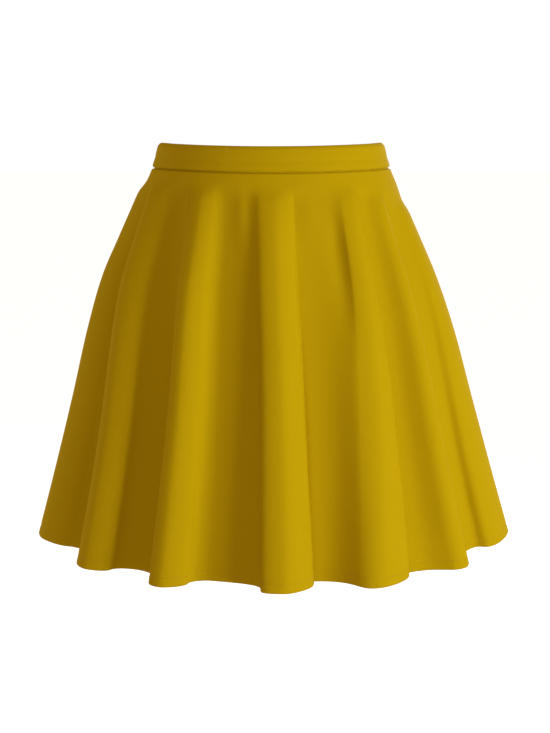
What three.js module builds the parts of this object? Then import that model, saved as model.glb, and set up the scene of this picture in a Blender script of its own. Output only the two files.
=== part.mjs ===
// A pull-on circle skirt, filled out as if worn and held at the waist.
//
// Three cut pieces are built: a shaped waistband, a front panel and a back panel.
// Each is a thin closed wall of cloth. Millimetres, +Z up, the front faces -Y and
// +X is to the right of someone who looks at the front. The origin lies on the
// skirt's axis, half way up the waistband.
//
// The skirt is one closed surface before it is cut into panels. A point on it is
// named by two numbers:
//   drop    - how far down the cloth it lies from the waist seam
//   station - where it lies round the skirt, four stations to each fold:
//             4i is the valley before fold i, 4i + 1 the flank that rises from it,
//             4i + 2 the crest, and 4i + 3 the flank that falls to the next valley.

import * as THREE from 'three';

// ---- Driving sizes ---------------------------------------------------------

const BAND_HEIGHT = 25;
const BAND_WALL = 3;            // two layers of cloth round a flat elastic
const BAND_ROUNDING = 1;        // the fold along the top edge
const CLOTH_WALL = 1.2;
const HEM_TURN = 9;             // height of the turned-up hem
const HEM_WALL = 2.4;           // two layers
const HEM_STEP = 0.5;           // height over which the wall thickens at the turned edge
const SEAM_GAP = 0.3;
const SKIRT_DROP = 397;         // height from the waist seam to the hem, front and back
const SIDE_LIFT = 0.043;        // share of the drop by which the hips lift the sides

const FRONT_DIP = 3;            // the waistband lies lower in front than at the sides
const BACK_DIP = 7;             // and lower still behind
const DIP_FADES_BY = 160;       // drop at which the skirt has lost that dip

// ---- The band's and the skirt's sections, without folds ----------------------
// Every section is two half ellipses: half width, depth in front, depth behind.

const BAND_TOP = { halfWidth: 116.5, front: 85, back: 86 };
const BAND_FOOT = { halfWidth: 123.5, front: 91, back: 92 };

const SECTIONS = [
  { drop: 0, halfWidth: 122.9, front: 90.4, back: 91.4, centreX: 0 },
  { drop: 20, halfWidth: 131, front: 97, back: 99, centreX: 0 },
  { drop: 45, halfWidth: 139, front: 106, back: 110, centreX: 0 },
  { drop: 75, halfWidth: 149.5, front: 115, back: 120, centreX: 0 },
  { drop: 115, halfWidth: 164, front: 126, back: 132, centreX: 0 },
  { drop: 170, halfWidth: 179, front: 138, back: 144, centreX: 1.5 },
  { drop: 245, halfWidth: 195.5, front: 152, back: 157, centreX: 3 },
  { drop: 320, halfWidth: 213, front: 165, back: 170, centreX: 4 },
  { drop: 397, halfWidth: 232, front: 178, back: 183, centreX: 5 },
];

// ---- The folds -----------------------------------------------------------------
// Angles in degrees round the axis, 0 in front, positive towards +X, as the sections'
// own parameter.
//   crest                - the crest at the hem
//   before, after        - from the crest to its two flanks, at the hem
//   lean, tuck           - how steep those two flanks are at the hem; past 1 they overhang
//   out                  - how far the crest stands out at the hem
//   hollow               - how deep the valley after it lies at the hem
//   floor                - where that valley is deepest, as a share of its width
//   topCrest, topBefore, topAfter - the crest and its flanks at the waist seam
//   sweep                - how soon below the seam they come round to their hem angles
//   start                - the drop at which the fold begins

const FOLDS = [
  { crest: -76, before: 9, lean: 1, after: 11, tuck: 0.5, out: 24, hollow: 9, floor: 0.75,
    topCrest: -90, topBefore: 8, topAfter: 14, sweep: 2, start: 10 },
  { crest: -49.5, before: 4.5, lean: 1.3, after: 5.8, tuck: 1.1, out: 24, hollow: 13, floor: 0.5,
    topCrest: -64, topBefore: 6, topAfter: 12, sweep: 2, start: 10 },
  { crest: -27, before: 3.6, lean: 1, after: 5.6, tuck: 1.2, out: 21.5, hollow: 14, floor: 0.25,
    topCrest: -31.5, topBefore: 7, topAfter: 6.5, sweep: 4, start: 9 },
  { crest: 2, before: 5.6, lean: 1, after: 7, tuck: 1.9, out: 20, hollow: 17, floor: 0.05,
    topCrest: 0.5, topBefore: 8, topAfter: 9, sweep: 5, start: 12 },
  { crest: 24.5, before: 4.8, lean: 0.5, after: 9.6, tuck: 1.8, out: 19, hollow: 9, floor: 0.06,
    topCrest: 36, topBefore: 6, topAfter: 6, sweep: 0.8, start: 12 },
  { crest: 49.5, before: 4.5, lean: 0.3, after: 5, tuck: 1.6, out: 20, hollow: 7, floor: 0.06,
    topCrest: 54, topBefore: 5, topAfter: 4.5, sweep: 2, start: 20 },
  { crest: 79, before: 14.5, lean: 0.9, after: 9, tuck: 1, out: 18.5, hollow: 14, floor: 0.5,
    topCrest: 84, topBefore: 10, topAfter: 8, sweep: 2, start: 30 },
  { crest: 101, before: 5.5, lean: 1, after: 8, tuck: 0.8, out: 18, hollow: 14, floor: 0.5,
    topCrest: 103, topBefore: 7, topAfter: 8, sweep: 2, start: 34 },
  { crest: 121, before: 5, lean: 1.2, after: 8, tuck: 0.4, out: 20, hollow: 12, floor: 0.4,
    topCrest: 125, topBefore: 7, topAfter: 8, sweep: 2, start: 16 },
  { crest: 143, before: 5.5, lean: 0.8, after: 7, tuck: 1.3, out: 17, hollow: 15, floor: 0.5,
    topCrest: 148, topBefore: 7, topAfter: 7, sweep: 1, start: 10 },
  { crest: 164, before: 5, lean: 1.2, after: 8.5, tuck: 0.3, out: 19, hollow: 9, floor: 0.7,
    topCrest: 169, topBefore: 7, topAfter: 8, sweep: 2, start: 18 },
  { crest: 187, before: 6, lean: 0.5, after: 6.5, tuck: 1.6, out: 17, hollow: 15, floor: 0.25,
    topCrest: 191, topBefore: 8, topAfter: 7, sweep: 3, start: 9 },
  { crest: 210, before: 5, lean: 1, after: 8, tuck: 0.6, out: 20, hollow: 11, floor: 0.55,
    topCrest: 210, topBefore: 7, topAfter: 9, sweep: 2, start: 14 },
  { crest: 232, before: 5.5, lean: 0.7, after: 6.5, tuck: 1.3, out: 17, hollow: 16, floor: 0.2,
    topCrest: 230, topBefore: 8, topAfter: 7, sweep: 1, start: 22 },
  { crest: 255, before: 5.5, lean: 1.1, after: 7.5, tuck: 0.9, out: 20, hollow: 15, floor: 0.5,
    topCrest: 250, topBefore: 7, topAfter: 8, sweep: 2, start: 28 },
];

const STATIONS_PER_FOLD = 4;
const FRONT_FOLDS = 7;              // folds before the right side seam
const GROWTH = 0.5;                 // a fold deepens fast below its start, then slowly
const SOFT_START = 18;              // height over which a fold rises out of the hip
const LEAN_AT_TOP = 0.5;            // share of its steepness that a rising flank has at the seam
const TUCK_AT_TOP = 0.25;           // the same for a falling flank, which starts out softer
const FACE_ROUNDING = 0.4;          // share of a falling face that is rounded at its crest

const FACE_SPAN = Math.hypot(1, FACE_ROUNDING) - FACE_ROUNDING;
const FACE_END = 1 / Math.hypot(1, FACE_ROUNDING) / FACE_SPAN;

// ---- How finely the walls are cut ----------------------------------------------

const STEPS_PER_STATION = 3;
const DROP_ROWS = [12, 24, 42, 72, 120, 190, 265, 335];
const BAND_COLUMNS = 72;

const PROBE = 0.01;                 // step of the finite differences for the normals

// ---- Small tools -----------------------------------------------------------------

const radians = THREE.MathUtils.degToRad;
const smooth = (x) => THREE.MathUtils.smoothstep(x, 0, 1);
const blend = THREE.MathUtils.lerp;

/** A smooth curve through one column of a table that is sorted by its key column. */
function through(table, key, column, x) {
  const last = table.length - 1;
  let i = 0;
  while (i < last - 1 && x > table[i + 1][key]) i += 1;
  const chord = (j) => {
    const a = table[j];
    const b = table[j + 1];
    return (b[column] - a[column]) / (b[key] - a[key]);
  };
  const slope = (j) => {
    if (j === 0) return chord(0);
    if (j === last) return chord(last - 1);
    return (chord(j - 1) + chord(j)) / 2;
  };
  const width = table[i + 1][key] - table[i][key];
  const t = (x - table[i][key]) / width;
  const rise = t * t * (3 - 2 * t);
  return table[i][column] * (1 - rise) + table[i + 1][column] * rise
    + slope(i) * width * t * (1 - t) * (1 - t)
    - slope(i + 1) * width * t * t * (1 - t);
}

/** How far the waist lies below its own sides, at an angle in radians. */
function waistDip(angle) {
  const facing = Math.cos(angle);
  return (facing > 0 ? FRONT_DIP : BACK_DIP) * facing * facing;
}

/** A point on a section, moved out along the section's normal. */
function onSection(section, angle, out, z) {
  const sine = Math.sin(angle);
  const cosine = Math.cos(angle);
  const depth = cosine > 0 ? section.front : section.back;
  const normal = new THREE.Vector2(sine / section.halfWidth, -cosine / depth).normalize();
  return new THREE.Vector3(
    section.centreX + section.halfWidth * sine + normal.x * out,
    -depth * cosine + normal.y * out,
    z,
  );
}

// ---- The folded surface ------------------------------------------------------------

/** The row of a fold, counted round and round the skirt, with its angles unwrapped. */
function fold(i) {
  const turn = Math.floor(i / FOLDS.length);
  const row = FOLDS[i - turn * FOLDS.length];
  return { ...row, crest: row.crest + 360 * turn, topCrest: row.topCrest + 360 * turn };
}

/** Crest, flanks and depths of a fold at a drop. */
function foldAt(i, drop) {
  const row = fold(i);
  const wayDown = drop / SKIRT_DROP;
  const lead = Math.max(1 - wayDown, 0) ** row.sweep;
  const below = Math.max(drop - row.start, 0);
  const grown = (below / (SKIRT_DROP - row.start)) ** GROWTH * smooth(below / SOFT_START);
  const centre = blend(row.crest, row.topCrest, lead);
  return {
    crest: centre,
    rise: centre - blend(row.before, row.topBefore, lead),
    fall: centre + blend(row.after, row.topAfter, lead),
    out: row.out * grown,
    hollow: -row.hollow * grown,
    floor: row.floor,
    lean: row.lean * smooth(blend(LEAN_AT_TOP, 1, wayDown)),
    tuck: row.tuck * smooth(blend(TUCK_AT_TOP, 1, wayDown)),
  };
}

/** 0 at the crest and 1 at the falling flank: rounded at first, then straight. */
function faceShape(t) {
  return (Math.hypot(t, FACE_ROUNDING) - FACE_ROUNDING) / FACE_SPAN;
}

/** Angle in degrees and distance out from the section, at a station and a drop. */
function foldedLine(station, drop) {
  const half = STATIONS_PER_FOLD / 2;
  const i = Math.floor(station / STATIONS_PER_FOLD);
  const along = station - i * STATIONS_PER_FOLD;
  const rising = along < half;
  const here = foldAt(i, drop);
  const beside = foldAt(rising ? i - 1 : i + 1, drop);
  const flank = rising ? here.rise : here.fall;
  const valley = rising
    ? blend(beside.fall, here.rise, beside.floor)
    : blend(here.fall, beside.rise, here.floor);
  const hollow = rising ? beside.hollow : here.hollow;
  const crestPull = (rising ? Math.PI / 2 : FACE_END) / Math.abs(flank - here.crest);
  const valleyPull = Math.PI / 2 / Math.abs(valley - flank);
  const flankOut = blend(hollow, here.out, crestPull / (crestPull + valleyPull));

  const fromCrest = Math.abs(along - half);
  const onCrest = fromCrest <= 1;
  const t = onCrest ? fromCrest : half - fromCrest;
  const ahead = rising ? Math.sin(Math.PI * t) / Math.PI : t * t * (1 - t);
  const reach = t + (rising ? here.lean : here.tuck) * ahead;
  const from = onCrest ? here.crest : valley;
  const peak = onCrest ? here.out : hollow;
  const away = onCrest && !rising ? faceShape(t) : 1 - Math.cos((Math.PI * t) / 2);
  return { angle: from + (flank - from) * reach, out: blend(peak, flankOut, away) };
}

/** A point on the outside of the skirt. */
function clothPoint(station, drop) {
  const { angle, out } = foldedLine(station, drop);
  const turn = radians(angle);
  const section = {};
  for (const column of ['halfWidth', 'front', 'back', 'centreX']) {
    section[column] = through(SECTIONS, 'drop', column, drop);
  }
  const dip = waistDip(turn) * (1 - smooth(drop / DIP_FADES_BY));
  const fall = drop * (1 - SIDE_LIFT * Math.sin(turn) ** 4);
  return onSection(section, turn, out, -BAND_HEIGHT / 2 - dip - fall);
}

/** The outward normal of the skirt. */
function clothNormal(station, drop) {
  const round = clothPoint(station + PROBE, drop).sub(clothPoint(station - PROBE, drop));
  const down = clothPoint(station, drop + PROBE).sub(clothPoint(station, Math.max(drop - PROBE, 0)));
  return down.cross(round).normalize();
}

// ---- Walls ---------------------------------------------------------------------------

/** A closed body from rings of points along a path, each ring down one side and up the other. */
function sweptWall(rings) {
  const across = rings[0].length;
  const positions = rings.flat().flatMap((point) => point.toArray());
  const faces = [];
  const quad = (a, b, c, d) => faces.push(a, b, c, a, c, d);
  for (let i = 0; i + 1 < rings.length; i += 1) {
    for (let j = 0; j < across; j += 1) {
      const k = (j + 1) % across;
      quad(i * across + j, i * across + k, (i + 1) * across + k, (i + 1) * across + j);
    }
  }
  // Each end is closed by quads from the one side to the other.
  const last = (rings.length - 1) * across;
  for (let j = 0; j + 1 < across - 1 - j; j += 1) {
    const k = across - 1 - j;
    quad(j, k, k - 1, j + 1);
    quad(last + j, last + j + 1, last + k - 1, last + k);
  }
  const geometry = new THREE.BufferGeometry();
  geometry.setAttribute('position', new THREE.Float32BufferAttribute(positions, 3));
  geometry.setIndex(faces);
  geometry.computeVertexNormals();
  return geometry;
}

/** The cloth's edge at a station: down the outside, then up the inside. */
function clothRing(station, shift) {
  const hemTop = SKIRT_DROP - HEM_TURN;
  const rows = [SEAM_GAP, ...DROP_ROWS, hemTop, hemTop + HEM_STEP, SKIRT_DROP];
  const wall = (row) => (row > hemTop ? HEM_WALL : CLOTH_WALL);
  const round = (row) => clothPoint(station + PROBE, row).sub(clothPoint(station - PROBE, row)).normalize();
  const outside = rows.map((row) => clothPoint(station, row).addScaledVector(round(row), shift));
  const inside = outside.map((point, i) => {
    return point.clone().addScaledVector(clothNormal(station, rows[i]), -wall(rows[i]));
  });
  return [...outside, ...inside.reverse()];
}

/** One panel of the skirt, from one seam's fold to another's. */
function panel(firstFold, endFold) {
  const first = firstFold * STATIONS_PER_FOLD;
  const steps = (endFold - firstFold) * STATIONS_PER_FOLD * STEPS_PER_STATION;
  const rings = [];
  for (let step = 0; step <= steps; step += 1) {
    const atStart = step === 0 ? SEAM_GAP / 2 : 0;
    const atEnd = step === steps ? SEAM_GAP / 2 : 0;
    rings.push(clothRing(first + step / STEPS_PER_STATION, atStart - atEnd));
  }
  return sweptWall(rings);
}

/** The waistband's edge at an angle: down the outside, then up the inside. */
function bandRing(angle) {
  const rounded = BAND_HEIGHT - BAND_ROUNDING;
  const profile = [
    { height: BAND_HEIGHT, inset: BAND_WALL / 3 },
    { height: rounded, inset: 0 },
    { height: BAND_HEIGHT * 0.45, inset: 0 },
    { height: 0, inset: 0 },
    { height: 0, inset: BAND_WALL },
    { height: BAND_HEIGHT * 0.45, inset: BAND_WALL },
    { height: rounded, inset: BAND_WALL },
    { height: BAND_HEIGHT, inset: (BAND_WALL * 2) / 3 },
  ];
  return profile.map(({ height, inset }) => {
    const up = height / BAND_HEIGHT;
    const section = { centreX: 0 };
    for (const column of ['halfWidth', 'front', 'back']) {
      section[column] = blend(BAND_FOOT[column], BAND_TOP[column], up);
    }
    return onSection(section, angle, -inset, height - BAND_HEIGHT / 2 - waistDip(angle));
  });
}

/** The waistband, whose two ends are sewn together at the centre back. */
function waistband() {
  const halfGap = SEAM_GAP / 2 / BAND_TOP.halfWidth;
  const rings = [];
  for (let column = 0; column <= BAND_COLUMNS; column += 1) {
    rings.push(bandRing(blend(-Math.PI + halfGap, Math.PI - halfGap, column / BAND_COLUMNS)));
  }
  return sweptWall(rings);
}

// ---- The skirt -------------------------------------------------------------------------

const clothFinish = new THREE.MeshStandardMaterial({
  color: 0xc79f0c, roughness: 0.85, metalness: 0, side: THREE.FrontSide,
});

function piece(name, geometry) {
  const mesh = new THREE.Mesh(geometry, clothFinish.clone());
  mesh.name = name;
  return mesh;
}

const skirt = new THREE.Group();
skirt.name = 'circle_skirt';
skirt.add(piece('waistband', waistband()));
skirt.add(piece('front_panel', panel(0, FRONT_FOLDS)));
skirt.add(piece('back_panel', panel(FRONT_FOLDS, FOLDS.length)));

export default skirt;
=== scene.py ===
# %% [markdown]
# # A circle skirt in plain knit cloth
#
# The skirt is three sewn pieces: a folded waistband, a front panel and a back panel.
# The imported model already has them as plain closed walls, at their real size and
# with their main folds. This lesson gives each one its finished look: cloth with a
# turned and stitched hem, rolled seam edges, small creases and a knitted surface.
# The frame says where everything is, so nothing here is moved or fitted by eye.

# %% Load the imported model
import math

import bmesh
import bpy
import numpy as np
from mathutils import Matrix, Vector


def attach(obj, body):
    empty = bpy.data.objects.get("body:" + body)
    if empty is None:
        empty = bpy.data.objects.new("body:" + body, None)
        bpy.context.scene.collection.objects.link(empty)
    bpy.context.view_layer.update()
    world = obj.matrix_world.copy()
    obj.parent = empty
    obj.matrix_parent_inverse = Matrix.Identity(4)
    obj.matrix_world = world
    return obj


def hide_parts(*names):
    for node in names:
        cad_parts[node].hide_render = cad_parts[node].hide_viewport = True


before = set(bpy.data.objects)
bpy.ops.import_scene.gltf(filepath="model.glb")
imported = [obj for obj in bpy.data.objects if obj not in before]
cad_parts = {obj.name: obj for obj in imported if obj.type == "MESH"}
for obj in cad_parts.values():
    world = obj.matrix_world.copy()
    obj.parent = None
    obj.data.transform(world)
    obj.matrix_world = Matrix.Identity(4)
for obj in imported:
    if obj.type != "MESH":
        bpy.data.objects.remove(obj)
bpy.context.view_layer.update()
print("nodes:", sorted(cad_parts))

# %% [markdown]
# ## Sizes
#
# A garment is measured in millimetres and Blender works in metres. The sizes stay in
# millimetres, as on a pattern, and one factor turns the finished points into metres.

# %% Sizes of the garment
MM = 0.001

CLOTH_WALL = 1.0            # a medium knit
BAND_HEIGHT = 25
BAND_WALL = 3               # two layers with a flat elastic between them
SKIRT_DROP = 397            # height from the waist seam to the hem, front and back
SIDE_LIFT = 0.043           # share of the drop by which the hips lift the sides
SEAM_GAP = 0.02             # sewn edges lie against each other

FRONT_DIP = 3               # the waistband lies lower in front than at the sides
BACK_DIP = 7                # and lower still behind
DIP_FADES_BY = 160          # drop at which the skirt has lost that dip

BAND_TOP = {"half_width": 116.5, "front": 85, "back": 86}
BAND_FOOT = {"half_width": 123.5, "front": 91, "back": 92}

# %% [markdown]
# ## The skirt without its folds
#
# Seen from above, each height of the skirt is two half ellipses, a front one and a
# back one. The first rows follow the hips, and the last rows flare freely.

# %% Sections
SECTIONS = [
    {"drop": 0, "half_width": 122.9, "front": 90.4, "back": 91.4, "centre_x": 0},
    {"drop": 20, "half_width": 131, "front": 97, "back": 99, "centre_x": 0},
    {"drop": 45, "half_width": 139, "front": 106, "back": 110, "centre_x": 0},
    {"drop": 75, "half_width": 149.5, "front": 115, "back": 120, "centre_x": 0},
    {"drop": 115, "half_width": 164, "front": 126, "back": 132, "centre_x": 0},
    {"drop": 170, "half_width": 179, "front": 138, "back": 144, "centre_x": 1.5},
    {"drop": 245, "half_width": 195.5, "front": 152, "back": 157, "centre_x": 3},
    {"drop": 320, "half_width": 213, "front": 165, "back": 170, "centre_x": 4},
    {"drop": 397, "half_width": 232, "front": 178, "back": 183, "centre_x": 5},
]

print(len(SECTIONS), "sections from the waist seam to the hem")

# %% [markdown]
# ## The folds
#
# A circle skirt's hem is much longer than its waist, so the cloth hangs in deep
# uneven folds. Cloth simulation would drop them at random. Here each fold is two
# lines of a table instead, because this skirt's folds have their own places.
#
# The first line is the fold at the hem: the angle of its crest round the axis, the
# angles from there to its two flanks, how steep those flanks are, how far the crest
# stands out, how deep the valley after it lies and where that valley is deepest. The
# second line has the same angles at the waist seam, how soon they come round to the
# hem's, and the drop at which the fold starts.
#
# `lean` and `tuck` above 1 let a flank overhang, so that the fold rolls over.

# %% Folds
FOLDS = [
    dict(crest=-76, before=9, lean=1, after=11, tuck=0.5, out=24, hollow=9, floor=0.75,
         top_crest=-90, top_before=8, top_after=14, sweep=2, start=10),
    dict(crest=-49.5, before=4.5, lean=1.3, after=5.8, tuck=1.1, out=24, hollow=13, floor=0.5,
         top_crest=-64, top_before=6, top_after=12, sweep=2, start=10),
    dict(crest=-27, before=3.6, lean=1, after=5.6, tuck=1.2, out=21.5, hollow=14, floor=0.25,
         top_crest=-31.5, top_before=7, top_after=6.5, sweep=4, start=9),
    dict(crest=2, before=5.6, lean=1, after=7, tuck=1.9, out=20, hollow=17, floor=0.05,
         top_crest=0.5, top_before=8, top_after=9, sweep=5, start=12),
    dict(crest=24.5, before=4.8, lean=0.5, after=9.6, tuck=1.8, out=19, hollow=9, floor=0.06,
         top_crest=36, top_before=6, top_after=6, sweep=0.8, start=12),
    dict(crest=49.5, before=4.5, lean=0.3, after=5, tuck=1.6, out=20, hollow=7, floor=0.06,
         top_crest=54, top_before=5, top_after=4.5, sweep=2, start=20),
    dict(crest=79, before=14.5, lean=0.9, after=9, tuck=1, out=18.5, hollow=14, floor=0.5,
         top_crest=84, top_before=10, top_after=8, sweep=2, start=30),
    dict(crest=101, before=5.5, lean=1, after=8, tuck=0.8, out=18, hollow=14, floor=0.5,
         top_crest=103, top_before=7, top_after=8, sweep=2, start=34),
    dict(crest=121, before=5, lean=1.2, after=8, tuck=0.4, out=20, hollow=12, floor=0.4,
         top_crest=125, top_before=7, top_after=8, sweep=2, start=16),
    dict(crest=143, before=5.5, lean=0.8, after=7, tuck=1.3, out=17, hollow=15, floor=0.5,
         top_crest=148, top_before=7, top_after=7, sweep=1, start=10),
    dict(crest=164, before=5, lean=1.2, after=8.5, tuck=0.3, out=19, hollow=9, floor=0.7,
         top_crest=169, top_before=7, top_after=8, sweep=2, start=18),
    dict(crest=187, before=6, lean=0.5, after=6.5, tuck=1.6, out=17, hollow=15, floor=0.25,
         top_crest=191, top_before=8, top_after=7, sweep=3, start=9),
    dict(crest=210, before=5, lean=1, after=8, tuck=0.6, out=20, hollow=11, floor=0.55,
         top_crest=210, top_before=7, top_after=9, sweep=2, start=14),
    dict(crest=232, before=5.5, lean=0.7, after=6.5, tuck=1.3, out=17, hollow=16, floor=0.2,
         top_crest=230, top_before=8, top_after=7, sweep=1, start=22),
    dict(crest=255, before=5.5, lean=1.1, after=7.5, tuck=0.9, out=20, hollow=15, floor=0.5,
         top_crest=250, top_before=7, top_after=8, sweep=2, start=28),
]

STATIONS_PER_FOLD = 4       # valley, rising flank, crest, falling flank
FRONT_FOLDS = 7             # folds before the right side seam
GROWTH = 0.5                # a fold deepens fast below its start, then slowly
SOFT_START = 18             # height over which a fold rises out of the hip
LEAN_AT_TOP = 0.5           # where a rising flank's easing to full steepness begins
TUCK_AT_TOP = 0.25          # the same for a falling flank, which starts out softer
FACE_ROUNDING = 0.4         # share of a falling face that is rounded at its crest

FACE_SPAN = math.hypot(1, FACE_ROUNDING) - FACE_ROUNDING
FACE_END = 1 / math.hypot(1, FACE_ROUNDING) / FACE_SPAN

print(len(FOLDS), "folds,", FRONT_FOLDS, "of them in front")

# %% [markdown]
# ## Small tools
#
# Every function below takes whole arrays of places at once, so that a grid of forty
# thousand points is shaped in a moment.

# %% Curves and blends
def smooth(x):
    x = np.clip(x, 0, 1)
    return x * x * (3 - 2 * x)


def blend(a, b, share):
    return a + (b - a) * share


def through(table, column, drop):
    """A smooth curve through one column of a table that is sorted by its drops."""
    knots = np.array([row["drop"] for row in table], dtype=float)
    values = np.array([row[column] for row in table], dtype=float)
    chords = np.diff(values) / np.diff(knots)
    inner = (chords[:-1] + chords[1:]) / 2
    slopes = np.concatenate((chords[:1], inner, chords[-1:]))
    i = np.clip(np.searchsorted(knots, drop, side="right") - 1, 0, len(knots) - 2)
    width = knots[i + 1] - knots[i]
    t = (drop - knots[i]) / width
    eased = t * t * (3 - 2 * t)
    bend = width * t * (1 - t) * (slopes[i] * (1 - t) - slopes[i + 1] * t)
    return blend(values[i], values[i + 1], eased) + bend


def on_section(section, angle, out, z):
    """Points on a section, moved out along the section's normal."""
    sine = np.sin(angle)
    cosine = np.cos(angle)
    depth = np.where(cosine > 0, section["front"], section["back"])
    normal_x = sine / section["half_width"]
    normal_y = -cosine / depth
    long = np.hypot(normal_x, normal_y)
    x = section["centre_x"] + section["half_width"] * sine + normal_x / long * out
    y = -depth * cosine + normal_y / long * out
    return np.stack((x, y, z + 0 * x), axis=-1)


def waist_dip(angle):
    """How far the waist lies below its own sides."""
    facing = np.cos(angle)
    return np.where(facing > 0, FRONT_DIP, BACK_DIP) * facing * facing


print("smooth(0.5) is", smooth(np.array(0.5)))

# %% [markdown]
# ## The folded surface
#
# A point of the cloth has two numbers. `drop` says how far down it lies. `station`
# says where it lies round the skirt, four stations to each fold: 4i is the valley
# before fold i, 4i + 1 the flank that rises from it, 4i + 2 the crest, and 4i + 3 the
# flank that falls to the next valley.
#
# From a valley to the crest after it the outline is two quarter waves, which meet at
# the flank at one slope. From a crest down to its falling flank it is a flatter face
# instead, rounded only near the crest, because hung cloth keeps such a face almost
# straight. The angle runs ahead of itself on the way to a flank, and that is what
# lets a steep one roll over.

# %% Where a point of the cloth lies
def fold_at(i, drop):
    """Crest, flanks and depths of the folds numbered i, at their drops."""
    turn = np.floor_divide(i, len(FOLDS))
    which = i - turn * len(FOLDS)
    row = {name: np.array([fold[name] for fold in FOLDS])[which] for name in FOLDS[0]}
    way_down = drop / SKIRT_DROP
    lead = (1 - way_down) ** row["sweep"]
    below = np.maximum(drop - row["start"], 0)
    grown = (below / (SKIRT_DROP - row["start"])) ** GROWTH * smooth(below / SOFT_START)
    centre = blend(row["crest"], row["top_crest"], lead) + 360 * turn
    return {
        "crest": centre,
        "rise": centre - blend(row["before"], row["top_before"], lead),
        "fall": centre + blend(row["after"], row["top_after"], lead),
        "out": row["out"] * grown,
        "hollow": -row["hollow"] * grown,
        "floor": row["floor"],
        "lean": row["lean"] * smooth(blend(LEAN_AT_TOP, 1, way_down)),
        "tuck": row["tuck"] * smooth(blend(TUCK_AT_TOP, 1, way_down)),
    }


def face_shape(t):
    """0 at the crest and 1 at the falling flank: rounded at first, then straight."""
    return (np.hypot(t, FACE_ROUNDING) - FACE_ROUNDING) / FACE_SPAN


def folded_line(station, drop):
    """Angle in degrees, and distance out from the section."""
    half = STATIONS_PER_FOLD / 2
    i = np.floor(station / STATIONS_PER_FOLD).astype(int)
    along = station - i * STATIONS_PER_FOLD
    rising = along < half
    here = fold_at(i, drop)
    beside = fold_at(np.where(rising, i - 1, i + 1), drop)
    flank = np.where(rising, here["rise"], here["fall"])
    valley = np.where(
        rising,
        blend(beside["fall"], here["rise"], beside["floor"]),
        blend(here["fall"], beside["rise"], here["floor"]),
    )
    hollow = np.where(rising, beside["hollow"], here["hollow"])
    crest_pull = np.where(rising, np.pi / 2, FACE_END) / np.abs(flank - here["crest"])
    valley_pull = np.pi / 2 / np.abs(valley - flank)
    share = crest_pull / (crest_pull + valley_pull)
    flank_out = blend(hollow, here["out"], share)

    from_crest = np.abs(along - half)
    on_crest = from_crest <= 1
    t = np.where(on_crest, from_crest, half - from_crest)
    steepness = np.where(rising, here["lean"], here["tuck"])
    reach = t + steepness * np.where(rising, np.sin(np.pi * t) / np.pi, t * t * (1 - t))
    start = np.where(on_crest, here["crest"], valley)
    peak = np.where(on_crest, here["out"], hollow)
    away = np.where(on_crest & ~rising, face_shape(t), 1 - np.cos(np.pi * t / 2))
    return start + (flank - start) * reach, blend(peak, flank_out, away)


def folded_surface(station, drop):
    """Points of the outside face, in millimetres."""
    angle, out = folded_line(station, drop)
    turn = np.radians(angle)
    names = ("half_width", "front", "back", "centre_x")
    section = {name: through(SECTIONS, name, drop) for name in names}
    dip = waist_dip(turn) * (1 - smooth(drop / DIP_FADES_BY))
    fall = drop * (1 - SIDE_LIFT * np.sin(turn) ** 4)
    return on_section(section, turn, out, -BAND_HEIGHT / 2 - dip - fall)


PROBE = 0.01                # step of the differences that give directions


def directions(station, drop):
    """Unit vectors round the skirt and out of its cloth."""
    around = folded_surface(station + PROBE, drop) - folded_surface(station - PROBE, drop)
    down = folded_surface(station, drop + PROBE) - folded_surface(station, drop - PROBE)
    outward = np.cross(down, around)
    around /= np.linalg.norm(around, axis=-1, keepdims=True)
    outward /= np.linalg.norm(outward, axis=-1, keepdims=True)
    return around, outward


crest_of_fourth = folded_surface(np.array([14.0]), np.array([float(SKIRT_DROP)]))[0]
print("the middle front crest meets the hem at", np.round(crest_of_fourth, 1), "mm")

# %% [markdown]
# ## Small creases
#
# Between the big folds the cloth has a few soft ridges and troughs, where it pulls
# away from the waist seam and where a valley buckles. Each is listed with its own
# length, width and height, so that no two are alike. A negative height is a
# trough. The last one is a broad ridge whose foot lies past the hem, so that it still
# shows at the edge of the cloth.

# %% Creases
CREASE_ONSET = 3            # a crease is at full height after a third of its length
CREASE_FADE = 1.6           # and has begun to fade a little before its middle

CREASES = [
    dict(station=4.8, top=12, foot=200, drift=0.1, width=0.13, height=-6),
    dict(station=8.95, top=12, foot=120, drift=0.05, width=0.15, height=-4),
    dict(station=12.35, top=8, foot=95, drift=0, width=0.14, height=1.6),
    dict(station=16.22, top=14, foot=85, drift=0.05, width=0.14, height=1.3),
    dict(station=16.75, top=12, foot=190, drift=0.1, width=0.2, height=-3.5),
    dict(station=16.75, top=70, foot=560, drift=0, width=0.5, height=5),
]


def crease_height(station, drop):
    """How far the small creases lift the cloth."""
    lift = 0 * drop
    for row in CREASES:
        long = row["foot"] - row["top"]
        down = (drop - row["top"]) / long
        middle = row["station"] + row["drift"] * down
        across = (station - middle) / row["width"]
        along = smooth(down * CREASE_ONSET) * smooth((1 - down) * CREASE_FADE)
        lift = lift + row["height"] * along * np.exp(-across * across)
    return lift


print(len(CREASES), "small creases")

# %% [markdown]
# ## Seams and hem
#
# The hem is a real one: the cloth runs down the outside, round the fold and back up
# the inside, where it ends at the line of stitches. `hem_path` walks along the cloth
# from the waist seam and says how far down it is and how deep behind the outside
# face. At each seam the cloth rolls in, because the seam pulls it towards the inside.
# Above the waist seam its allowance stands up inside the band.

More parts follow.
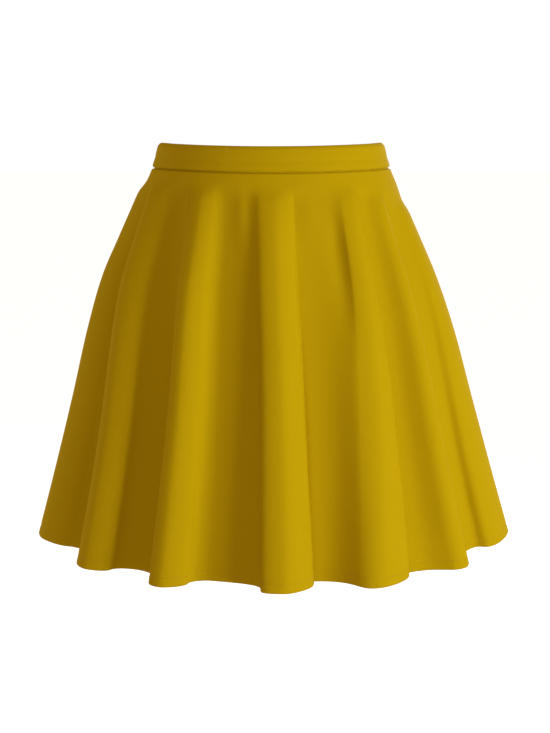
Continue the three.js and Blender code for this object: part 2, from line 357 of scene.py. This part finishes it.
# %% The path of the cloth from seam to hem
HEM_TURN = 9                # height of the turned-up hem
HEM_RADIUS = 1.15           # outside radius of the fold along the edge
SEAM_ROLL = 2.2             # how deep the cloth rolls in at the waist seam
SEAM_ROLL_WIDTH = 3.2
SEAM_ALLOWANCE = 5          # pressed up inside the waistband
ALLOWANCE_LEAN = 0.25       # how fast it leans back towards the band
SIDE_ROLL = 0.7
SIDE_ROLL_WIDTH = 2.5
STITCH_GROOVE = 0.35        # how far the hem stitches pull the outside in
STITCH_GROOVE_WIDTH = 1.6

STRAIGHT = SKIRT_DROP - HEM_RADIUS
ROUND_FOLD = math.pi * HEM_RADIUS
CLOTH_LENGTH = STRAIGHT + ROUND_FOLD + HEM_TURN


def hem_path(length):
    """Drop, and depth behind the outside face, at a length along the cloth."""
    turned = np.clip((length - STRAIGHT) / HEM_RADIUS, 0, np.pi)
    up = np.maximum(length - STRAIGHT - ROUND_FOLD, 0)
    drop = np.minimum(length, STRAIGHT) + HEM_RADIUS * np.sin(turned) - up
    depth = HEM_RADIUS * (1 - np.cos(turned))
    return drop, depth


def cloth_face(station, length, first, last):
    """The outside face of a panel between two stations, seams and hem included."""
    drop, depth = hem_path(length)
    around, outward = directions(station, drop)
    seam = SEAM_ROLL * (1 - smooth(length / SEAM_ROLL_WIDTH)) ** 2
    seam = seam + ALLOWANCE_LEAN * np.minimum(length, 0)
    stitches = (length - (SKIRT_DROP - HEM_TURN)) / STITCH_GROOVE_WIDTH
    groove = STITCH_GROOVE * np.exp(-stitches * stitches)
    point = folded_surface(station, drop)
    for end, inwards in ((first, 1), (last, -1)):
        edge = folded_surface(0 * station + end, drop)
        away = np.linalg.norm(point - edge, axis=-1)
        near = np.abs(station - end) < STATIONS_PER_FOLD / 4
        roll = np.where(near, 1 - smooth(away / SIDE_ROLL_WIDTH), 0)
        depth = depth + SIDE_ROLL * roll * roll
        point = point + around * (inwards * SEAM_GAP / 2 * roll)[:, None]
    lift = crease_height(station, drop) - depth - seam - groove
    return point + outward * lift[:, None]


print("cloth from seam to raw edge:", round(CLOTH_LENGTH, 1), "mm")

# %% [markdown]
# ## The flat cut
#
# Each panel is cut flat as part of a ring: an inner arc that is sewn to the
# waistband and an outer arc that becomes the hem. The same cut is the panel's UV
# map, in metres, so the knit runs straight down the middle of a panel and on the
# bias at its sides, as it does in real circle skirts.

# %% The cut of a panel
CUT_RADIUS = 233            # from the ring's centre to the waist seam
CUT_ANGLE = math.radians(83)


def cut_place(across, length):
    """Flat place of a point, from its share across the panel and its length down."""
    angle = (across - 0.5) * CUT_ANGLE
    radius = (CUT_RADIUS + length) * MM
    return np.stack((radius * np.sin(angle), -radius * np.cos(angle)), axis=-1)


# %% [markdown]
# ## Sheets from a grid
#
# A sheet of cloth starts as a flat grid of squares. The grid's own x becomes the way
# across the panel and its y the way down. Rows and columns lie closer together where
# the shape is small: at the seams and round the hem's fold.

# %% Shape a grid
def shaped_grid(name, columns, rows, face, flat):
    """A mesh object from a grid whose points are moved by face and laid out by flat."""
    bm = bmesh.new()
    bmesh.ops.create_grid(bm, x_segments=columns, y_segments=rows, size=0.5)
    bm.verts.ensure_lookup_table()
    across = np.array([vert.co.x + 0.5 for vert in bm.verts])
    down = np.array([0.5 - vert.co.y for vert in bm.verts])
    places = face(across, down) * MM
    charts = flat(across, down)
    layer = bm.loops.layers.uv.new("cut")
    for vert, place in zip(bm.verts, places):
        vert.co = place
    for polygon in bm.faces:
        polygon.smooth = True
        for loop in polygon.loops:
            loop[layer].uv = charts[loop.vert.index]
    mesh = bpy.data.meshes.new(name)
    bm.to_mesh(mesh)
    bm.free()
    piece = bpy.data.objects.new(name, mesh)
    bpy.context.scene.collection.objects.link(piece)
    return piece


def give_wall(piece, thickness):
    """Turns a sheet into cloth with an inside face and closed edges."""
    wall = piece.modifiers.new("wall", "SOLIDIFY")
    wall.thickness = thickness * MM
    wall.offset = -1
    wall.use_quality_normals = True


print("grids are shaped by a function and keep their flat cut as a UV map")

# %% [markdown]
# ## Front and back panel
#
# Both come from the same surface, cut at the side seams. The solidify modifier adds
# the wall on the inside, so the outside face stays where the pattern puts it.

# %% The two panels
COLUMNS_PER_FOLD = 40
EDGE_SHARE = 0.02           # share of the columns that lie in the outermost strip
EDGE_STATIONS = 0.12        # how many stations wide that strip is
ROWS = 118
SEAM_END = 4                # the waist seam's roll ends above this length
HIP_END = 36                # and every fold starts above this one
HEM_START = SKIRT_DROP - 13  # the hem's closely spaced rows begin here
ROW_KNOTS = [0, 0.04, 0.1, 0.18, 0.8, 1]
LENGTH_KNOTS = [-SEAM_ALLOWANCE, 0, SEAM_END, HIP_END, HEM_START, CLOTH_LENGTH]


def panel(name, first_fold, end_fold):
    """One panel of the skirt, as a finished sheet."""
    first = first_fold * STATIONS_PER_FOLD
    last = end_fold * STATIONS_PER_FOLD
    share_knots = [0, EDGE_SHARE, 1 - EDGE_SHARE, 1]
    station_knots = [first, first + EDGE_STATIONS, last - EDGE_STATIONS, last]

    def place(across, down):
        station = np.interp(across, share_knots, station_knots)
        length = np.interp(down, ROW_KNOTS, LENGTH_KNOTS)
        return station, length

    def face(across, down):
        return cloth_face(*place(across, down), first, last)

    def flat(across, down):
        station, length = place(across, down)
        return cut_place((station - first) / (last - first), length)

    piece = shaped_grid(name, (end_fold - first_fold) * COLUMNS_PER_FOLD, ROWS, face, flat)
    give_wall(piece, CLOTH_WALL)
    return piece


front = panel("front_cloth", 0, FRONT_FOLDS)
back = panel("back_cloth", FRONT_FOLDS, len(FOLDS))
print("front:", len(front.data.polygons), "faces, back:", len(back.data.polygons))

# %% [markdown]
# ## Waistband
#
# The band is one strip, folded along its top edge over a flat elastic. Its cloth
# runs up the outside, over the fold and down the inside, and both edges roll into
# the waist seam. The elastic fills the upper part, so a shallow trough shows below
# it. The strip's ends meet at the centre back.

# %% The folded strip
ELASTIC_FOOT = 10           # height of the elastic's lower edge above the seam
ELASTIC_TROUGH = 0.45
TROUGH_WIDTH = 3.5
TOP_LEAN = 1.6              # how far the fold leans in above the elastic
TOP_LEAN_HEIGHT = 5
BAND_ROLL = 1.4             # how far the edge rolls in at the waist seam
BAND_ROLL_WIDTH = 2.6
BAND_COLUMNS = 300
BAND_ROWS = 76

FOLD_RADIUS = BAND_WALL / 2
BAND_SIDE = BAND_HEIGHT - FOLD_RADIUS
BAND_STRIP = 2 * BAND_SIDE + math.pi * FOLD_RADIUS
WAIST_ROUND = 660           # length of the strip, at half its height


def band_place(across, down):
    """Angle, height above the seam and depth behind the outside face."""
    angle = blend(-np.pi, np.pi, across)
    length = (1 - down) * BAND_STRIP
    turned = np.clip((length - BAND_SIDE) / FOLD_RADIUS, 0, np.pi)
    back_down = np.maximum(length - BAND_SIDE - math.pi * FOLD_RADIUS, 0)
    height = np.minimum(length, BAND_SIDE) + FOLD_RADIUS * np.sin(turned) - back_down
    depth = FOLD_RADIUS * (1 - np.cos(turned))
    return angle, height, depth


def band_face(across, down):
    angle, height, depth = band_place(across, down)
    inner = depth > FOLD_RADIUS
    roll = BAND_ROLL * (1 - smooth(height / BAND_ROLL_WIDTH)) ** 2
    below = (height - ELASTIC_FOOT) / TROUGH_WIDTH
    trough = ELASTIC_TROUGH * np.exp(-below * below)
    lean = TOP_LEAN * smooth(1 - (BAND_HEIGHT - height) / TOP_LEAN_HEIGHT) ** 2
    depth = depth + lean + np.where(inner, -roll, roll + trough)
    up = height / BAND_HEIGHT
    section = {name: blend(BAND_FOOT[name], BAND_TOP[name], up) for name in BAND_TOP}
    section["centre_x"] = 0
    gap = SEAM_GAP / 2 / BAND_TOP["half_width"]
    angle = np.clip(angle, -np.pi + gap, np.pi - gap)
    return on_section(section, angle, -depth, height - BAND_HEIGHT / 2 - waist_dip(angle))


def band_flat(across, down):
    return np.stack((across * WAIST_ROUND * MM, (1 - down) * BAND_STRIP * MM), axis=-1)


band = shaped_grid("waistband_cloth", BAND_COLUMNS, BAND_ROWS, band_face, band_flat)
give_wall(band, CLOTH_WALL)
print("waistband strip:", WAIST_ROUND, "x", round(BAND_STRIP, 1), "mm")

# %% [markdown]
# ## Hem stitches
#
# The hem is sewn with one line of matching thread. A stitch is a short rounded
# stroke that lies along the hem and is half sunk in the cloth. Each is a small
# stretched sphere, because hundreds of them must stay light, and all the stitches of
# a panel are joined in one mesh.

# %% One line of stitches
STITCH_PITCH = 3.4
STITCH_LONG = 2.5
STITCH_THICK = 0.42
STITCH_HEIGHT = HEM_TURN    # above the hem's edge
STITCH_SIDES = 6
STITCH_RINGS = 4
HEM_SAMPLES = 4000          # places at which the hem's length is measured


def evenly_along(stations, drop, pitch):
    """Stations one pitch apart on the cloth at a drop, and the length walked."""
    points = folded_surface(stations, drop + 0 * stations)
    steps = np.linalg.norm(np.diff(points, axis=0), axis=-1)
    walked = np.concatenate(([0], np.cumsum(steps)))
    count = int(walked[-1] // pitch)
    return np.interp((np.arange(count) + 0.5) * pitch, walked, stations), walked[-1]


def stitch_line(name, first, last):
    """A panel's hem stitches, joined in one mesh."""
    dense = np.linspace(first, last, HEM_SAMPLES)
    drop = SKIRT_DROP - STITCH_HEIGHT
    stations, hem_long = evenly_along(dense, drop, STITCH_PITCH)
    lengths = drop + 0 * stations
    centres = cloth_face(stations, lengths, first, last)
    around, outward = directions(stations, lengths)
    bm = bmesh.new()
    for centre, along, out in zip(centres, around, outward):
        axes = Matrix((Vector(along), Vector(np.cross(out, along)), Vector(out)))
        size = Matrix.Diagonal((STITCH_LONG / 2, STITCH_THICK / 2, STITCH_THICK / 2))
        turn = (axes.transposed() @ size * MM).to_4x4()
        place = Matrix.Translation(Vector(centre) * MM)
        lying = Matrix.Rotation(math.pi / 2, 4, "Y")
        bmesh.ops.create_uvsphere(
            bm, u_segments=STITCH_SIDES, v_segments=STITCH_RINGS, radius=1,
            matrix=place @ turn @ lying,
        )
    mesh = bpy.data.meshes.new(name)
    for polygon in bm.faces:
        polygon.smooth = True
    bmesh.ops.recalc_face_normals(bm, faces=bm.faces)
    bm.to_mesh(mesh)
    bm.free()
    piece = bpy.data.objects.new(name, mesh)
    bpy.context.scene.collection.objects.link(piece)
    print(name, "has", len(stations), "stitches on", round(hem_long), "mm of hem")
    return piece


side_station = FRONT_FOLDS * STATIONS_PER_FOLD
back_station = len(FOLDS) * STATIONS_PER_FOLD
front_stitches = stitch_line("front_hem_stitches", 0, side_station)
back_stitches = stitch_line("back_hem_stitches", side_station, back_station)

# %% [markdown]
# ## The knit
#
# A knit's right side is made of columns of small V shapes, about a millimetre wide.
# They are far too small for geometry, so they are a bump that follows the flat cut.
# Across a column the height is an arch; the two legs of the V come from a ripple
# whose phase runs up on one side of the column and down on the other.

# %% Knit cloth
WALE = 0.9                  # width of a column of stitches
COURSE = 0.75               # height of a row of stitches
ARCH_SHARE = 0.65           # share of the height that comes from the column's arch
RIPPLE_SHARE = 0.35         # and from the legs of the V
CLOTH_COLOUR = (0.6, 0.438, 0.002, 1)
CLOTH_SHADE = (0.56, 0.398, 0.0015, 1)
CLOTH_ROUGHNESS = 0.82
CLOTH_SPECULAR = 0.03
CLOTH_SHEEN = 0.015         # more would draw pale lines along the folds' edges
SHEEN_ROUGHNESS = 0.45
SHEEN_TINT = (1, 0.8, 0.1, 1)
MOTTLE_SCALE = 14           # broad unevenness of the dye
MOTTLE_SHARE = 0.6
YARN_SCALE = 900            # single yarns
YARN_SHARE = 0.4
YARN_FUZZ = 0.5
KNIT_BUMP = 0.35
KNIT_DEPTH = 0.15           # millimetres


def node(tree, kind, **settings):
    made = tree.nodes.new(kind)
    for name, value in settings.items():
        setattr(made, name, value)
    return made


def maths(tree, operation, first, second=None):
    made = node(tree, "ShaderNodeMath", operation=operation)
    for socket, value in zip(made.inputs, (first, second)):
        if isinstance(value, (int, float)):
            socket.default_value = value
        elif value is not None:
            tree.links.new(value, socket)
    return made.outputs[0]


def knit_height(tree, chart):
    """Height of the knit's V shapes from 0 to about 1, from a chart in metres."""
    split = node(tree, "ShaderNodeSeparateXYZ")
    tree.links.new(chart, split.inputs[0])
    column = maths(tree, "FRACT", maths(tree, "DIVIDE", split.outputs["X"], WALE * MM))
    leg = maths(tree, "ABSOLUTE", maths(tree, "SUBTRACT", column, 0.5))
    arch = maths(tree, "COSINE", maths(tree, "MULTIPLY", leg, math.pi))
    row = maths(tree, "DIVIDE", split.outputs["Y"], COURSE * MM)
    phase = maths(tree, "MULTIPLY", maths(tree, "ADD", row, leg), 2 * math.pi)
    ripple = maths(tree, "MULTIPLY", maths(tree, "SINE", phase), RIPPLE_SHARE)
    return maths(tree, "ADD", maths(tree, "MULTIPLY", arch, ARCH_SHARE), ripple)


def cloth_material(name):
    material = bpy.data.materials.new(name)
    material.use_nodes = True
    tree = material.node_tree
    shader = tree.nodes["Principled BSDF"]
    shader.inputs["Roughness"].default_value = CLOTH_ROUGHNESS
    shader.inputs["Specular IOR Level"].default_value = CLOTH_SPECULAR
    shader.inputs["Sheen Weight"].default_value = CLOTH_SHEEN
    shader.inputs["Sheen Roughness"].default_value = SHEEN_ROUGHNESS
    shader.inputs["Sheen Tint"].default_value = SHEEN_TINT
    chart = node(tree, "ShaderNodeUVMap", uv_map="cut").outputs["UV"]
    place = node(tree, "ShaderNodeTexCoord").outputs["Object"]
    height = knit_height(tree, chart)

    mottle = node(tree, "ShaderNodeTexNoise")
    mottle.inputs["Scale"].default_value = MOTTLE_SCALE
    mottle.inputs["Detail"].default_value = 3
    tree.links.new(place, mottle.inputs["Vector"])
    yarn = node(tree, "ShaderNodeTexNoise")
    yarn.inputs["Scale"].default_value = YARN_SCALE
    yarn.inputs["Detail"].default_value = 2
    tree.links.new(chart, yarn.inputs["Vector"])
    broad = maths(tree, "MULTIPLY", mottle.outputs["Fac"], MOTTLE_SHARE)
    fine = maths(tree, "MULTIPLY", yarn.outputs["Fac"], YARN_SHARE)
    tone = maths(tree, "ADD", broad, fine)
    colour = node(tree, "ShaderNodeMix", data_type="RGBA")
    colour.inputs["A"].default_value = CLOTH_SHADE
    colour.inputs["B"].default_value = CLOTH_COLOUR
    tree.links.new(tone, colour.inputs["Factor"])
    tree.links.new(colour.outputs["Result"], shader.inputs["Base Color"])

    fuzz = maths(tree, "ADD", height, maths(tree, "MULTIPLY", yarn.outputs["Fac"], YARN_FUZZ))
    bump = node(tree, "ShaderNodeBump")
    bump.inputs["Strength"].default_value = KNIT_BUMP
    bump.inputs["Distance"].default_value = KNIT_DEPTH * MM
    tree.links.new(fuzz, bump.inputs["Height"])
    tree.links.new(bump.outputs["Normal"], shader.inputs["Normal"])
    return material


cloth = cloth_material("mustard knit")
for piece in (front, back, band):
    piece.data.materials.append(cloth)
print("knit with", round(1000 / WALE), "columns to the metre")

# %% [markdown]
# ## Sewing thread
#
# The thread matches the cloth and is a little darker and glossier, because it is
# spun tight. A fine slanted ripple stands for its twist.

# %% Thread
THREAD_COLOUR = (0.5, 0.33, 0.004, 1)
THREAD_ROUGHNESS = 0.55
TWIST_SCALE = 1200
TWIST_BUMP = 0.5
TWIST_DEPTH = 0.08          # millimetres

thread = bpy.data.materials.new("matching thread")
thread.use_nodes = True
thread_tree = thread.node_tree
thread_shader = thread_tree.nodes["Principled BSDF"]
thread_shader.inputs["Base Color"].default_value = THREAD_COLOUR
thread_shader.inputs["Roughness"].default_value = THREAD_ROUGHNESS
twist = node(thread_tree, "ShaderNodeTexWave", bands_direction="DIAGONAL")
twist.inputs["Scale"].default_value = TWIST_SCALE
thread_place = node(thread_tree, "ShaderNodeTexCoord").outputs["Object"]
thread_tree.links.new(thread_place, twist.inputs["Vector"])
thread_bump = node(thread_tree, "ShaderNodeBump")
thread_bump.inputs["Strength"].default_value = TWIST_BUMP
thread_bump.inputs["Distance"].default_value = TWIST_DEPTH * MM
thread_tree.links.new(twist.outputs["Fac"], thread_bump.inputs["Height"])
thread_tree.links.new(thread_bump.outputs["Normal"], thread_shader.inputs["Normal"])
for piece in (front_stitches, back_stitches):
    piece.data.materials.append(thread)
print("thread on", len(front_stitches.data.polygons), "faces in front")

# %% [markdown]
# ## What each piece stands for
#
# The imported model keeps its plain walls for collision. Each finished sheet replaces
# one of them, rides with the skirt's only body and says how its cloth was cut.

# %% Tell the frame
pairs = (
    (front, "front_panel", front_stitches),
    (back, "back_panel", back_stitches),
)
for sheet, part, stitches in pairs:
    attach(sheet, "root")
    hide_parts(part)
    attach(stitches, "root")
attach(band, "root")
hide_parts("waistband")

# %% [markdown]
# ## Floor, light and camera
#
# The skirt is held at waist height, so the floor lies a metre below the band. One
# large soft box stands to the right of the camera and models the folds. A weak one
# in front and a warm surround keep the valleys open and their shade orange. Two more
# light the back and the left side, for the other views. The surround throws warm
# light, but is seen as plain white. The floor is seen too, but throws no light back,
# so the light from below stays as soft as the rest of the surround.

# %% Floor
FLOOR_Z = -1.0
FLOOR_RADIUS = 40
FLOOR_SIDES = 96
FLOOR_COLOUR = (0.6, 0.6, 0.6, 1)
FLOOR_ROUGHNESS = 0.9
FLOOR_GLOW = 0.9            # light of its own, which keeps a pale floor from going grey

bm = bmesh.new()
bmesh.ops.create_circle(bm, cap_ends=True, segments=FLOOR_SIDES, radius=FLOOR_RADIUS)
bmesh.ops.translate(bm, vec=(0, 0, FLOOR_Z), verts=bm.verts)
floor_mesh = bpy.data.meshes.new("floor")
bm.to_mesh(floor_mesh)
bm.free()
floor = bpy.data.objects.new("floor", floor_mesh)
bpy.context.scene.collection.objects.link(floor)
pale = bpy.data.materials.new("pale floor")
pale.use_nodes = True
pale_shader = pale.node_tree.nodes["Principled BSDF"]
pale_shader.inputs["Base Color"].default_value = FLOOR_COLOUR
pale_shader.inputs["Roughness"].default_value = FLOOR_ROUGHNESS
pale_shader.inputs["Emission Color"].default_value = (1, 1, 1, 1)
pale_shader.inputs["Emission Strength"].default_value = FLOOR_GLOW
floor_mesh.materials.append(pale)
floor.visible_diffuse = False

# %% Light
AIM = Vector((0, 0, -0.2))
SURROUND = 0.355
SURROUND_COLOUR = (1, 0.66, 0.34, 1)

SOFT_BOXES = [
    dict(name="key", place=(1.97, -1.54, -0.1), size=1.0, power=36),
    dict(name="fill", place=(-0.8, -2.4, 0.1), size=1.2, power=4),
    dict(name="back", place=(1.3, 2.2, 0.4), size=1.2, power=24),
    dict(name="left side", place=(-2.2, 0.9, 0.1), size=1.2, power=8),
]
for row in SOFT_BOXES:
    light = bpy.data.lights.new(row["name"], "AREA")
    light.size = row["size"]
    light.energy = row["power"]
    lamp = bpy.data.objects.new(row["name"], light)
    bpy.context.scene.collection.objects.link(lamp)
    lamp.location = row["place"]
    lamp.rotation_euler = (AIM - lamp.location).to_track_quat("-Z", "Y").to_euler()

world = bpy.data.worlds.new("surround")
world.use_nodes = True
world_tree = world.node_tree
surround = world_tree.nodes["Background"]
seen = node(world_tree, "ShaderNodeBackground")
surround.inputs["Strength"].default_value = SURROUND
surround.inputs["Color"].default_value = SURROUND_COLOUR
seen.inputs["Color"].default_value = (1, 1, 1, 1)
by_camera = node(world_tree, "ShaderNodeLightPath").outputs["Is Camera Ray"]
either = node(world_tree, "ShaderNodeMixShader")
world_tree.links.new(by_camera, either.inputs[0])
world_tree.links.new(surround.outputs[0], either.inputs[1])
world_tree.links.new(seen.outputs[0], either.inputs[2])
world_tree.links.new(either.outputs[0], world_tree.nodes["World Output"].inputs["Surface"])
bpy.context.scene.world = world
bpy.context.scene.view_settings.view_transform = "Standard"
print(len(SOFT_BOXES), "soft boxes")

# %% Camera
CAMERA_PLACE = Vector((0.004, -1.5, 0.02))
CAMERA_AIM = Vector((0.004, 0, -0.2226))
LENS = 70.2                 # millimetres, as is the sensor
SENSOR_WIDTH = 36

camera_data = bpy.data.cameras.new("camera")
camera_data.sensor_width = SENSOR_WIDTH
camera_data.lens = LENS
camera = bpy.data.objects.new("camera", camera_data)
bpy.context.scene.collection.objects.link(camera)
camera.location = CAMERA_PLACE
camera.rotation_euler = (CAMERA_AIM - CAMERA_PLACE).to_track_quat("-Z", "Y").to_euler()
bpy.context.scene.camera = camera
print("camera looks down by", round(math.degrees(math.pi / 2 - camera.rotation_euler.x), 1))
